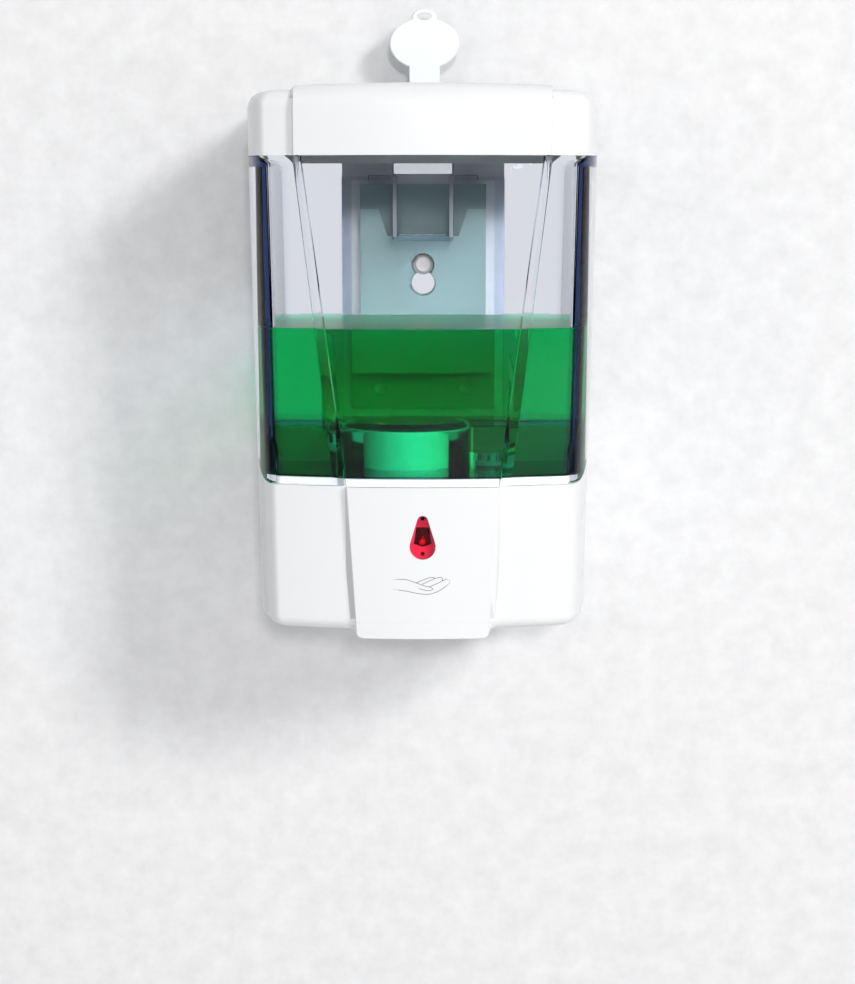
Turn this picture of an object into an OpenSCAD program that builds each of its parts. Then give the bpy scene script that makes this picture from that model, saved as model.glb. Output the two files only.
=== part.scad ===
// Wall mounted touch-free soap dispenser: clear tank over a white pump housing, locked lid, key and bracket.
// Frame: X to the right as seen from the front, Y into the wall, Z up, in millimetres.
// The origin is on the wall, on the centre line, 48 below the top edge of the wall bracket.

/* [Outer form] */
// Half width of the body at the lower edge of the lid
half_w_lid = 65.8; // [65:0.1:67]
// Half width of the body at the seam between tank and housing
half_w_seam = 63.4; // [63:0.1:64]
// Half width of the housing at its underside
half_w_foot = 62.6; // [62:0.1:63]
// Distance from the wall to the front face beside the raised panel, on the centre line
front_d = 103.4; // [103:0.1:105]
// How far the front face bulges between its corners
front_crown = 7; // [5:0.5:8]
// How far the front corners stand in from the widest part of the sides
corner_in = 8.6; // [7:0.2:10]
// Distance over which the sides flare out behind the front corners
flare_l = 32; // [26:1:36]
// Height of the raised centre panel above the front face
panel_rise = 2.6; // [2:0.1:3]

/* [Heights] */
// Top of the lid's raised panel
lid_top_z = 83.8; // [83:0.1:85]
// Lower edge of the lid
lid_z = 58; // [57.5:0.1:58.5]
// Seam between tank and housing, at the front
seam_z = -62.4; // [-63:0.1:-62]
// Underside of the housing
foot_z = -116.8; // [-117.5:0.1:-116.5]
// Underside of the nozzle tongue
tongue_z = -119.1; // [-119.5:0.1:-118.8]
// Level of the soap
soap_z = -4.4; // [-30:0.1:30]

/* [Walls] */
// Wall of the clear tank
tank_wall = 2.4; // [2:0.1:2.6]
// Wall of the white shells
shell_wall = 2.3; // [2:0.1:2.5]

/* [Wall bracket] */
// Half width of the bracket
bracket_half_w = 25.4; // [24:0.1:26]
// Top edge of the bracket
bracket_top_z = 48; // [47:0.1:48.5]
// Distance between the two lower fixing holes
fixing_spacing = 30; // [26:1:34]
// Radius of the two lower fixing holes
fixing_r = 2.25; // [2:0.05:2.5]

/* [Drive] */
// Gear module
gear_m = 0.6; // [0.6:0.1:0.6]
// Teeth on the motor pinion and on the small idler gear
small_teeth = 12; // [12:1:12]
// Teeth on the large idler gear and on the rotor gear
large_teeth = 36; // [36:1:36]

/* [Hidden] */
$fn = 48;
eps = 0.01;
far = 200;

// Raised panel: half width at the foot of its slopes and across its flat, lowest and highest on each part
lid_panel = [47.6, 46.4];
tank_panel_low = [32.7, 28.2];
tank_panel_high = [47.1, 44.2];
cover_panel_low = [26.6, 24.4];
cover_panel_high = [31, 27.8];

// Wing: the housing's sides rise behind the front corners and cover the foot of the tank
wing_z = -53.2;
wing_start_y = -97;
wing_end_y = -70;
// The cover ends and the rear housing begins at this distance from the wall
split_y = -58;
housing_back = 1;

// Tank
tank_back = 8;
tank_floor_z = -58.7;
rim_z = 72;
neck_in = 2.5;
neck_wall = 2.2;
rebate_in = 2.6;
low_side_in = 5.2;
hook_x = 45.6;
ledge_y = -42;
ledge_z = -43;
channel_front_half = 28.7;
channel_rear_half = 33.6;
channel_y = -18;
channel_top_z = 49.5;
well_half = 10.1;
well_y = -29;
well_z = 27.5;
well_wall = 2;
shelf_z = 53;

// Pump dome under the tank's hump, and the motor's axis
dome_x = -6;
dome_y = -52;
hump_r = 23.5;
hump_z = -42;
deck_z = seam_z - 0.3;
deck_t = 2.2;

// Tank outlet
outlet_x = 24;
outlet_y = -66;
outlet_r = 4;

// Gear train: motor, idler and rotor axes at right angles to each other
gear_gap = 0.12;
gear_dist = gear_m * (small_teeth + large_teeth) / 2 + gear_gap;
idler_x = dome_x + gear_dist * cos(45);
idler_y = dome_y - gear_dist * sin(45);
rotor_x = dome_x;
rotor_y = dome_y - 2 * gear_dist * sin(45);
upper_gear_z = -85.2;
lower_gear_z = -89.2;
gear_t = 3.2;

// Pump
plate_t = 2;
plate_z = -81.2;
body_plate_z = -91.2;
body_plate_t = 1.6;
chamber_r = 17.8;
chamber_z = -104;
roller_track_r = 9;
roller_r = 3.2;
tube_z = -97.2;
tube_path_r = 15.1;
tube_r = 2.4;
post_x = 20;
post_rear_y = -42;
post_front_y = -88.5;

// Nozzle
nozzle_x = -10;
nozzle_y = -68.4;

// Sensor window
window_z = -81;
window_low_r = 4.8;
window_high_r = 2;
window_low_z = -84.4;
window_high_z = -74.8;

// Batteries
battery_r = 7.15;
battery_pitch = 15.6;
battery_y = -15.2;
battery_low_z = -113.5;
battery_high_z = -63;

// Case screws
case_x = 50;
case_zs = [-80, -107];

// Power switch on the underside
switch_x = 36;
switch_y = -40;

// Key
key_x = 0.6;
key_y = -15;
key_t = 2.5;

white = "#f2f3f5";
clear = [0.78, 0.8, 0.88, 0.45];
steel = "#b9bcc0";
dark = "#2b2d31";
brass = "#c9a24b";
board_green = "#1f6b45";

function mix(a, b, t) = a + (b - a) * t;
function side_w(z) =
    z > lid_z ? half_w_lid
    : z > seam_z ? mix(half_w_seam, half_w_lid, (z - seam_z) / (lid_z - seam_z))
    : mix(half_w_foot, half_w_seam, (z - foot_z) / (seam_z - foot_z));
function panel(part, z) =
    part == "lid" ? lid_panel
    : part == "tank" ? mix(tank_panel_low, tank_panel_high, (min(z, lid_z) - seam_z) / (lid_z - seam_z))
    : mix(cover_panel_low, cover_panel_high, (z - foot_z) / (seam_z - foot_z));

// Right half of the plan outline at one height, from the front centre round to the back
function half_ring(part, z, side_in, front_in, back, rise) =
    let(w = side_w(z) - side_in, c = w - corner_in, f = front_d - front_in, p = panel(part, z), back_r = 4)
    concat(
        [for (k = [0:6]) let(x = p[1] * k / 6) [x, -f - rise + front_crown * pow(x / c, 2)]],
        [for (k = [0:3]) let(x = mix(p[0], c, k / 4)) [x, -f + front_crown * pow(x / c, 2)]],
        [for (k = [0:9]) let(a = 10 * k, x = c + corner_in * sin(a))
            [x, -f + front_crown * pow(x / c, 2) + flare_l * (1 - cos(a))]],
        [for (k = [0:3]) let(a = 30 * k) [w - back_r * (1 - cos(a)), -back - back_r * (1 - sin(a))]]
    );
function ring(part, level, rise) =
    let(h = half_ring(part, level[0], level[1], level[2], level[3], rise))
    concat(h, [for (k = [len(h) - 1:-1:1]) [-h[k].x, h[k].y]]);

// Strip k of a flat cap, from side to side; an outline has n points, and point n - k mirrors point k
function cap_strip(k, n) = k == 0 ? [0, 1, n - 1] : [k, k + 1, n - k - 1, n - k];

// Solid through plan outlines; each level is [height, inset at the sides, inset at the front, back]
module loft(part, levels, rise = panel_rise) {
    n = len(ring(part, levels[0], rise));
    strips = (n - 1) / 2;
    last = len(levels) - 1;
    polyhedron(
        points = [for (l = levels) for (p = ring(part, l, rise)) [p.x, p.y, l[0]]],
        faces = concat(
            [for (k = [0:strips - 1]) cap_strip(k, n)],
            [for (k = [0:strips - 1]) let(c = cap_strip(k, n)) [for (i = [len(c) - 1:-1:0]) last * n + c[i]]],
            [for (j = [0:last - 1]) for (i = [0:n - 1]) [j * n + i, (j + 1) * n + i, (j + 1) * n + (i + 1) % n]],
            [for (j = [0:last - 1]) for (i = [0:n - 1]) [j * n + i, (j + 1) * n + (i + 1) % n, j * n + (i + 1) % n]]
        )
    );
}

// Levels of an edge rounded to radius r, downwards from z or upwards to z
function round_down(z, r, inset, back) =
    [for (k = [0:4]) let(a = 22.5 * k) [z + r * (1 - cos(a)), inset + r * (1 - sin(a)), inset + r * (1 - sin(a)), back]];
function round_up(z, r, inset, back) =
    [for (k = [0:4]) let(a = 22.5 * k) [z - r + r * sin(a), inset + r * (1 - cos(a)), inset + r * (1 - cos(a)), back]];

// Box given by its lowest and highest corners
module box(lo, hi) { translate(lo) cube(hi - lo); }
// Flat shape drawn in X and Z, standing between y0 and y1
module upright(y0, y1) { translate([0, y1, 0]) rotate([90, 0, 0]) linear_extrude(y1 - y0) children(); }
// Flat shape drawn in Y and Z, reaching from -half to half in X
module across(half) { translate([-half, 0, 0]) rotate([90, 0, 90]) linear_extrude(2 * half) children(); }
module rod(x, y, z0, z1, r) { translate([x, y, z0]) cylinder(r = r, h = z1 - z0); }
module rod_y(x, z, y0, y1, r) { translate([x, y1, z]) rotate([90, 0, 0]) cylinder(r = r, h = y1 - y0); }
module rod_x(y, z, x0, x1, r) { translate([x0, y, z]) rotate([0, 90, 0]) cylinder(r = r, h = x1 - x0); }
function oval(x, y, rx, ry) = [for (k = [0:47]) [x + rx * cos(7.5 * k), y + ry * sin(7.5 * k)]];

// Line along which the housing's sides rise, lifted by up
function wing_line(up) =
    [for (k = [0:10]) let(t = k / 10)
        [mix(wing_start_y, wing_end_y, t), mix(seam_z, wing_z, (1 - cos(180 * t)) / 2) + up]];

// Space that the wings and the foot of the tank share, below the wing line
module below_wings(up) {
    across(far) polygon(concat([[wing_start_y - 0.5, seam_z - 5]], [[wing_start_y - 0.5, seam_z]],
        wing_line(up), [[10, wing_z + up], [10, seam_z - 5]]));
}
module above_wings() {
    across(far) polygon(concat([[-far, seam_z]], wing_line(0), [[wing_end_y, 0], [-far, 0]]));
}

// Smooth curve through the points of a route
function spline(p, i, t) =
    let(a = p[max(i - 1, 0)], b = p[i], c = p[i + 1], d = p[min(i + 2, len(p) - 1)])
    0.5 * (2 * b + (c - a) * t + (2 * a - 5 * b + 4 * c - d) * t * t + (3 * b - 3 * c + d - a) * t * t * t);
function route(p, steps) =
    concat([for (i = [0:len(p) - 2]) for (k = [0:steps - 1]) spline(p, i, k / steps)], [p[len(p) - 1]]);
function unit(v) = v / norm(v);
// Ring frames carried along the route without twist
function frames(p, i, n, out) =
    i == len(p) ? out
    : let(d = unit(p[min(i + 1, len(p) - 1)] - p[i - (i == len(p) - 1 ? 1 : 0)]), m = unit(n - d * (n * d)))
      frames(p, i + 1, m, concat(out, [[m, cross(d, m)]]));
module hose(points, r, steps = 4, sides = 8, start = [1, 0, 0]) {
    p = route(points, steps);
    f = frames(p, 0, start, []);
    last = len(p) - 1;
    polyhedron(
        points = [for (i = [0:last]) for (k = [0:sides - 1])
            p[i] + r * cos(360 * k / sides) * f[i][0] + r * sin(360 * k / sides) * f[i][1]],
        faces = concat(
            [[for (k = [0:sides - 1]) k]],
            [[for (k = [sides - 1:-1:0]) last * sides + k]],
            [for (i = [0:last - 1]) for (k = [0:sides - 1])
                [i * sides + k, (i + 1) * sides + k, (i + 1) * sides + (k + 1) % sides]],
            [for (i = [0:last - 1]) for (k = [0:sides - 1])
                [i * sides + k, (i + 1) * sides + (k + 1) % sides, i * sides + (k + 1) % sides]]
        )
    );
}

// ---- Wall bracket and its screw ----
screw_z = 15.4;
keyhole_z = 7.8;
web_t = 3;
face_y = -10;
face_t = 2.4;
bracket_low_z = -42;
foot_top_z = -27;

module wall_bracket() {
    color(white) difference() {
        union() {
            box([-bracket_half_w, face_y, foot_top_z], [bracket_half_w, 0, bracket_top_z]);
            box([-bracket_half_w, -web_t, bracket_low_z], [bracket_half_w, 0, foot_top_z]);
        }
        // Open back behind the face, above and below the keyhole block
        box([-bracket_half_w + face_t, face_y + face_t, 27], [bracket_half_w - face_t, 1, bracket_top_z + 1]);
        for (s = [-1, 1])
            box([min(s * 12, s * (bracket_half_w - face_t)), face_y + face_t, foot_top_z + face_t],
                [max(s * 12, s * (bracket_half_w - face_t)), 1, 28]);
        box([-13, face_y + face_t, foot_top_z + face_t], [13, 1, -8]);
        // Two round lobes for the screw head, and the keyhole through the web
        rod_y(0, screw_z, face_y - 1, -web_t, 4.7);
        rod_y(0, keyhole_z, face_y - 1, -web_t, 5.1);
        rod_y(0, screw_z, -web_t - 1, 1, 2.4);
        rod_y(0, keyhole_z, -web_t - 1, 1, 4.7);
        box([-2.4, -web_t - 1, keyhole_z], [2.4, 1, screw_z]);
        for (s = [-1, 1])
            rod_y(s * fixing_spacing / 2, -34, -web_t - 1, 1, fixing_r);
    }
}

module wall_screw() {
    head_y = -web_t - 0.05;
    color(steel) difference() {
        union() {
            rod_y(0, screw_z, head_y - 2, head_y, 4.2);
            translate([0, head_y - 2, screw_z]) rotate([90, 0, 0]) cylinder(r1 = 4.2, r2 = 2.8, h = 0.9);
            rod_y(0, screw_z, head_y, 20, 1.9);
            translate([0, 20, screw_z]) rotate([-90, 0, 0]) cylinder(r1 = 1.9, r2 = 0.4, h = 3);
        }
        for (a = [45, 135])
            translate([0, head_y - 2.9, screw_z]) rotate([0, a, 0]) cube([5, 3.4, 1], center = true);
    }
}

module wall_plug() {
    color("#9aa3ab") difference() {
        rod_y(0, screw_z, 2.5, 28, 3.5);
        rod_y(0, screw_z, 2, 29, 2);
        for (a = [0, 90])
            translate([0, 20, screw_z]) rotate([0, a, 0]) cube([9, 17, 0.8], center = true);
    }
}

// ---- Tank ----
tank_levels = [
    [seam_z, 0, 0, tank_back], [lid_z - 0.3, 0, 0, tank_back],
];
neck_levels = [
    [lid_z - 1, neck_in, neck_in, tank_back + 1], [rim_z, neck_in, neck_in, tank_back + 1],
];

// Space behind the tank for the wall bracket, grown by g
module channel(g) {
    points = [[-channel_rear_half - g, -tank_back + 1], [-channel_rear_half - g, -tank_back],
        [-channel_front_half - g, channel_y - g], [channel_front_half + g, channel_y - g],
        [channel_rear_half + g, -tank_back], [channel_rear_half + g, -tank_back + 1]];
    translate([0, 0, -70]) linear_extrude(channel_top_z + g + 70) polygon(points);
}
// Key well behind the tank, grown by g
module well(g) { box([-well_half - g, well_y - g, well_z - g], [well_half + g, 1, rim_z + 1]); }

// Inside of the tank, shrunk by g
module tank_cavity(g) {
    difference() {
        loft("tank", [
            [tank_floor_z + g, low_side_in + g, tank_wall + g, tank_back + tank_wall + g],
            [-50, low_side_in + g, tank_wall + g, tank_back + tank_wall + g],
            [-46.5, tank_wall + g, tank_wall + g, tank_back + tank_wall + g],
            [lid_z - 3, tank_wall + g, tank_wall + g, tank_back + tank_wall + g],
            [lid_z + 1, neck_in + neck_wall + g, neck_in + neck_wall + g, tank_back + 1 + neck_wall + g],
            [rim_z + 1, neck_in + neck_wall + g, neck_in + neck_wall + g, tank_back + 1 + neck_wall + g],
        ]);
        box([-far, ledge_y - g, -far], [far, 1, ledge_z + g]);
        rod(dome_x, dome_y, -80, hump_z + g, hump_r + g);
        channel(2.2 + g);
        well(well_wall + g);
    }
}

module tank() {
    hanger_y = -3.9;
    color(clear) difference() {
        union() {
            loft("tank", tank_levels);
            loft("tank", neck_levels);
            for (s = [-1, 1]) {
                box([s * 17.5 - 4.5, -9, channel_top_z + 0.1], [s * 17.5 + 4.5, hanger_y, channel_top_z + 2.1]);
                box([s * 17.5 - 4.5, hanger_y - 2.4, 42], [s * 17.5 + 4.5, hanger_y, channel_top_z + 2.1]);
            }
        }
        difference() {
            below_wings(0.25);
            loft("tank", [[seam_z - 6, rebate_in, rebate_in, 0], [wing_z + 2, rebate_in, rebate_in, 0]]);
        }
        tank_cavity(0);
        // Slots in the neck, through which the lid's front hooks swing
        for (s = [-1, 1])
            box([s * hook_x - 2.2, -102, lid_z + 2.6], [s * hook_x + 2.2, -91, rim_z + 1]);
        box([-58, ledge_y + 2.2, seam_z - 6], [58, 20, ledge_z - 2.4]);
        rod(dome_x, dome_y, seam_z - 6, hump_z - 2.4, hump_r - 2.2);
        difference() {
            channel(0);
            // The hangers reach down behind the bracket's top edge
            box([-22.2, hanger_y - 2.45, 41.9], [22.2, 5, channel_top_z + 3]);
        }
        difference() {
            well(0);
            box([-well_half - 1, well_y - 1, shelf_z - 1.6], [well_half + 1, -17.5, shelf_z]);
        }
        rod(outlet_x, outlet_y, seam_z - 1, tank_floor_z + 1, outlet_r + 0.2);
    }
}

module liquid_soap() {
    color([0.03, 0.5, 0.24, 0.8]) difference() {
        intersection() {
            tank_cavity(0.12);
            box([-far, -far, -far], [far, far, soap_z]);
        }
        rod(outlet_x, outlet_y, tank_floor_z - 1, -52.8, 7.2);
    }
}

module tank_outlet() {
    color(white) difference() {
        union() {
            rod(outlet_x, outlet_y, -57.7, -56.5, 6.6);
            rod(outlet_x, outlet_y, -56.6, -53, 5);
            rod(outlet_x, outlet_y, -72, -57.6, outlet_r);
            rod(outlet_x, outlet_y, -78, -71.9, 2.1);
        }
        rod(outlet_x, outlet_y, -79, -54, 1.3);
        rod(outlet_x, outlet_y, -70, -54, 2.8);
        for (a = [0:45:135])
            translate([outlet_x, outlet_y, -55]) rotate([0, 0, a]) cube([14, 1.2, 2], center = true);
    }
}

module outlet_seal() {
    color(dark) difference() {
        rod(outlet_x, outlet_y, tank_floor_z + 0.05, -57.75, 6.4);
        rod(outlet_x, outlet_y, tank_floor_z - 1, -57, outlet_r + 0.15);
    }
}

// ---- Housing ----
module chassis() {
    color(white) difference() {
        union() {
            intersection() {
                loft("cover", [[deck_z - deck_t, 2.9, 2.9, 4], [deck_z, 2.9, 2.9, 4]]);
                box([-far, -far, -far], [far, ledge_y + 3, 0]);
            }
            box([-57.4, ledge_y + 2.6, deck_z - deck_t], [57.4, -4, ledge_z - 2.8]);
            rod(dome_x, dome_y, deck_z - deck_t, hump_z - 2.8, hump_r - 2.6);
            for (x = [-post_x, post_x])
                for (y = [post_rear_y, post_front_y])
                    rod(rotor_x + x, y, plate_z + plate_t, deck_z - 1, 3);
            for (p = [[-51, -86], [-51, -36], [-34.5, -60]])
                rod(p.x, p.y, -70, deck_z - 1, 2.6);
        }
        box([-55.4, ledge_y + 4.6, -70], [55.4, -6, ledge_z - 4.8]);
        rod(dome_x, dome_y, -70, hump_z - 4.8, hump_r - 4.6);
        for (x = [-post_x, post_x])
            for (y = [post_rear_y, post_front_y])
                rod(rotor_x + x, y, plate_z, -66, 1.2);
        for (p = [[-51, -86], [-51, -36], [-34.5, -60]])
            rod(p.x, p.y, -71, -66, 1);
        rod(outlet_x, outlet_y, -70, -60, outlet_r + 0.3);
    }
}

shell_levels = concat(round_down(foot_z, 4.5, 0, housing_back), [[wing_z, 0, 0, housing_back]]);
inner_levels = [
    [foot_z + shell_wall, shell_wall + 2.6, shell_wall + 2.6, housing_back + shell_wall],
    [foot_z + shell_wall + 3, shell_wall, shell_wall, housing_back + shell_wall],
    [wing_z + 1, shell_wall, shell_wall, housing_back + shell_wall],
];

// Outline of the nozzle tongue seen from the front
function tongue_outline() =
    let(w = 25.6, r = 4)
    concat([[w, foot_z + 3]], [for (k = [0:6]) [w - r + r * cos(15 * k), tongue_z + r - r * sin(15 * k)]],
        [for (k = [6:-1:0]) [-w + r - r * cos(15 * k), tongue_z + r - r * sin(15 * k)]], [[-w, foot_z + 3]]);

// Teardrop of the sensor window, grown by g
module teardrop(g) {
    n = 24;
    lean = asin((window_low_r - window_high_r) / (window_high_z - window_low_z));
    polygon(concat(
        [for (k = [0:n]) let(a = mix(180 - lean, 360 + lean, k / n))
            [(window_low_r + g) * cos(a), window_low_z + (window_low_r + g) * sin(a)]],
        [for (k = [0:n]) let(a = mix(lean, 180 - lean, k / n))
            [(window_high_r + g) * cos(a), window_high_z + (window_high_r + g) * sin(a)]]
    ));
}

module front_cover() {
    color(white) difference() {
        union() {
            difference() {
                union() {
                    loft("cover", shell_levels);
                    intersection() {
                        upright(-120, -61) polygon(tongue_outline());
                        loft("cover", [[tongue_z - 1, 0, 0, 0], [foot_z + 4, 0, 0, 0]]);
                    }
                }
                loft("cover", inner_levels);
                above_wings();
            }
            for (x = [-case_x, case_x])
                for (z = case_zs)
                    rod_y(x, z, -97, split_y - 0.3, 3.6);
        }
        box([-far, split_y - 0.15, -far], [far, far, 0]);
        for (x = [-case_x, case_x])
            for (z = case_zs)
                rod_y(x, z, -80, split_y + 1, 1.45);
        upright(-120, -100) teardrop(0);
        rod(nozzle_x, nozzle_y, -130, -110, 4.2);
    }
}

door_half = 32.6;
door_front_y = -27;
door_hinge_y = -25.5;
door_hinge_z = -115.3;

module rear_housing() {
    color(white) difference() {
        union() {
            difference() {
                loft("cover", shell_levels);
                loft("cover", inner_levels);
            }
            for (x = [-case_x, case_x])
                for (z = case_zs)
                    rod_y(x, z, split_y + 0.15, -housing_back - 1, 4.6);
            for (s = [-1, 1])
                box([s * 35 - 1.8, -27.5, foot_z + 1], [s * 35 + 1.8, -23.5, -112.4]);
        }
        box([-far, -far, -far], [far, split_y + 0.15, 0]);
        box([-door_half - 0.3, door_front_y - 0.2, foot_z - 1], [door_half + 0.3, -5, -113]);
        rod_x(door_hinge_y, door_hinge_z, -35.5, 35.5, 1);
        for (x = [-case_x, case_x])
            for (z = case_zs) {
                rod_y(x, z, -54.2, 1, 3.2);
                rod_y(x, z, -60, -50, 1.75);
            }
        box([switch_x - 4.4, switch_y - 2.2, foot_z - 1], [switch_x + 4.4, switch_y + 2.2, -112]);
    }
}

module case_screws() {
    color(steel) for (x = [-case_x, case_x])
        for (z = case_zs) difference() {
            union() {
                rod_y(x, z, -54.1, -51.9, 2.8);
                rod_y(x, z, -78, -54, 1.4);
            }
            for (a = [45, 135])
                translate([x, -51.9, z]) rotate([0, a, 0]) cube([3.4, 2.2, 0.7], center = true);
        }
}

// ---- Sensor ----
module sensor_window() {
    color([0.85, 0.1, 0.2, 0.7]) union() {
        upright(-105.5, -102.7) teardrop(-0.12);
        upright(-103.2, -102.4) teardrop(0.9);
        rod_y(0, -74.2, -102.5, -99.5, 0.7);
        rod_y(0, -87.4, -102.5, -99.5, 0.7);
    }
}

module sensor_shroud() {
    color("#d9dadd") difference() {
        box([-7.5, -102.3, -92.5], [7.5, -96.4, -70]);
        box([-6.3, -101.3, -91.3], [6.3, -96, -71.2]);
        upright(-103, -101) polygon([[-2.3, -77.5], [2.3, -77.5], [3.3, -83.8], [0, -84.9], [-3.3, -83.8]]);
        rod_y(0, -74.2, -103, -101, 0.75);
        rod_y(0, -87.4, -103, -101, 0.75);
    }
}

module sensor_board() { color(board_green) box([-7.5, -96.3, -92.5], [7.5, -95.1, -70]); }
module small_led(x, z) {
    rod_y(x, z, -99.6, -96.4, 1.5);
    translate([x, -99.6, z]) sphere(r = 1.5);
}
module ir_emitter() { color("#4a4470") small_led(-3.4, -79.5); }
module ir_receiver() { color("#1d1d22") small_led(3.4, -79.5); }
module status_led() { color("#c33340") small_led(0, -83.4); }

// ---- Electronics ----
module circuit_board() {
    color(board_green) difference() {
        box([-54.5, -90, -71.7], [-31.5, -32, -70.1]);
        for (p = [[-51, -86], [-51, -36], [-34.5, -60]])
            rod(p.x, p.y, -73, -69, 1.3);
    }
}
module board_components() {
    low = -71.8;
    color(dark) box([-42.5, -52, low - 2], [-34.5, -44, low]);
    color("#3b5f8f") for (y = [-74, -82]) rod(-39, y, low - 10, low, 3.1);
    color("#e8e4d8") box([-42.5, -39.6, low - 6], [-33.5, -34.5, low]);
    color("#d8b04a") box([-43.5, -70.5, low - 7.5], [-36.5, -63, low]);
}
module board_screws() {
    color(steel) for (p = [[-51, -86], [-51, -36], [-34.5, -60]]) {
        rod(p.x, p.y, -73.3, -71.8, 2);
        rod(p.x, p.y, -71.9, -67, 0.95);
    }
}

// ---- Batteries ----
function battery_x(i) = (i - 1.5) * battery_pitch;
module battery_box() {
    color("#3a3c40") difference() {
        box([-33, -24, -112.9], [33, -6.4, -56.5]);
        for (i = [0:3])
            rod(battery_x(i), battery_y, -120, -58.4, battery_r + 0.25);
    }
}
// Cell number i; every second one stands with its button down
module battery(i) {
    up = i % 2 == 0;
    base = up ? battery_low_z : battery_low_z + 1.2;
    x = battery_x(i);
    color("#2f7d4f") rod(x, battery_y, base, base + 36, battery_r);
    color("#c8a14a") rod(x, battery_y, base + 36, base + 49.3, battery_r);
    color(steel) rod(x, battery_y, up ? base + 49.3 : base - 1.2, up ? base + 50.5 : base, 2.7);
}
module top_contacts() {
    top = -58.5;
    color(steel) {
        for (i = [0, 2]) rod(battery_x(i), battery_y, -62.9, top, 2.2);
        for (i = [1, 3])
            for (k = [0:4])
                translate([battery_x(i), battery_y, -62.4 + 0.86 * k])
                    rotate_extrude() translate([2.4 + 0.5 * k, 0]) circle(r = 0.5, $fn = 16);
        for (i = [0:3])
            rod(battery_x(i), battery_y, top - 0.5, top, 6);
    }
}
module battery_leads() {
    for (s = [0, 1])
        color(s == 0 ? "#b3202a" : dark)
            hose([[30 - 4 * s, -24.9 - 2 * s, -57], [28 - 4 * s, -30, -55 - 3 * s], [10, -31, -53 - 3 * s],
                [-15, -31, -53 - 3 * s], [-34, -33 + 2 * s, -58 - s], [-43, -31 + 2.4 * s, -66],
                [-44 + 4 * s, -34 + 0.6 * s, -69]],
                0.7, steps = 3, start = [0, 0, 1]);
}
module motor_leads() {
    for (s = [0, 1])
        color(s == 0 ? "#b3202a" : dark)
            hose([[dome_x - 13.4, dome_y + 2 - 4 * s, -58], [dome_x - 15.4, dome_y + 2 - 4 * s, -64],
                [-25.5, -51 - 4 * s, -72], [-29.5, -54 - 2 * s, -76],
                [-34, -55.2 - 1.8 * s, -76.4], [-38, -55 - 1.8 * s, -73]],
                0.7, steps = 3, start = [0, 1, 0]);
}
module battery_seal() {
    color(dark) difference() {
        box([-33, -23.9, -113.8], [33, -5.2, -113.1]);
        box([-31.5, -22.8, -115], [31.5, -7.4, -112]);
    }
}
module battery_door() {
    color(white) union() {
        box([-door_half, -24.6, foot_z], [door_half, -5.3, foot_z + 2]);
        rod_x(door_hinge_y, door_hinge_z, -door_half, door_half, 1.5);
        rod_x(door_hinge_y, door_hinge_z, -35, 35, 0.95);
        box([-door_half, door_hinge_y, foot_z + 0.2], [door_half, -24, foot_z + 2]);
        box([-6, -6.6, foot_z + 1], [6, -5.3, foot_z + 2.9]);
    }
}
module door_contacts() {
    color(steel) for (s = [-1, 1]) {
        box([s * battery_pitch - 12, battery_y - 4, foot_z + 2.05],
            [s * battery_pitch + 12, battery_y + 4, foot_z + 2.5]);
        for (x = [-1, 1])
            rod(s * battery_pitch + x * battery_pitch / 2, battery_y, foot_z + 2.4, foot_z + 3.2, 3);
    }
}

// ---- Power switch ----
module power_switch() {
    color(dark) difference() {
        box([switch_x - 6.4, switch_y - 4, -114.4], [switch_x + 6.4, switch_y + 4, -108.4]);
        box([switch_x - 4, switch_y - 1.4, -115], [switch_x + 4, switch_y + 1.4, -110.6]);
    }
}
module switch_knob() {
    color("#55585d") union() {
        box([switch_x - 3.7, switch_y - 1.2, -113.6], [switch_x - 0.3, switch_y + 1.2, -110.9]);
        box([switch_x - 3.3, switch_y - 1.2, -116.5], [switch_x - 0.7, switch_y + 1.2, -113.5]);
    }
}

// ---- Motor and gears ----
// Radial position on an involute, and the gear outline built from it
function inv_angle(base_r, r) = let(c = sqrt(max(0, pow(r / base_r, 2) - 1))) c * 180 / PI - atan(c);
function gear_outline(teeth) =
    let(pitch_r = gear_m * teeth / 2, base_r = pitch_r * cos(25), tip_r = pitch_r + 0.85 * gear_m,
        root_r = pitch_r - 1.15 * gear_m, half_tooth = 90 / teeth - 0.09 / pitch_r * 180 / PI,
        start_r = max(base_r, root_r + 0.05))
    [for (t = [0:teeth - 1]) for (s = [-1, 1]) for (k = s < 0 ? [0:5] : [5:-1:0])
        let(r = k == 0 ? root_r : mix(start_r, tip_r, (k - 1) / 4),
            a = half_tooth + inv_angle(base_r, pitch_r) - inv_angle(base_r, max(r, start_r)))
        [r * cos(360 * t / teeth + s * a), r * sin(360 * t / teeth + s * a)]];
module gear(x, y, z0, z1, teeth, turn) {
    translate([x, y, z0]) rotate([0, 0, turn]) linear_extrude(z1 - z0) polygon(gear_outline(teeth));
}
// The idler lies at -45 degrees from the motor, and the rotor at -135 degrees from the idler
pinion_turn = -45;
idler_upper_turn = 135 + 180 / large_teeth;
idler_lower_turn = -135;
rotor_gear_turn = 45 + 180 / large_teeth;

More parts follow.
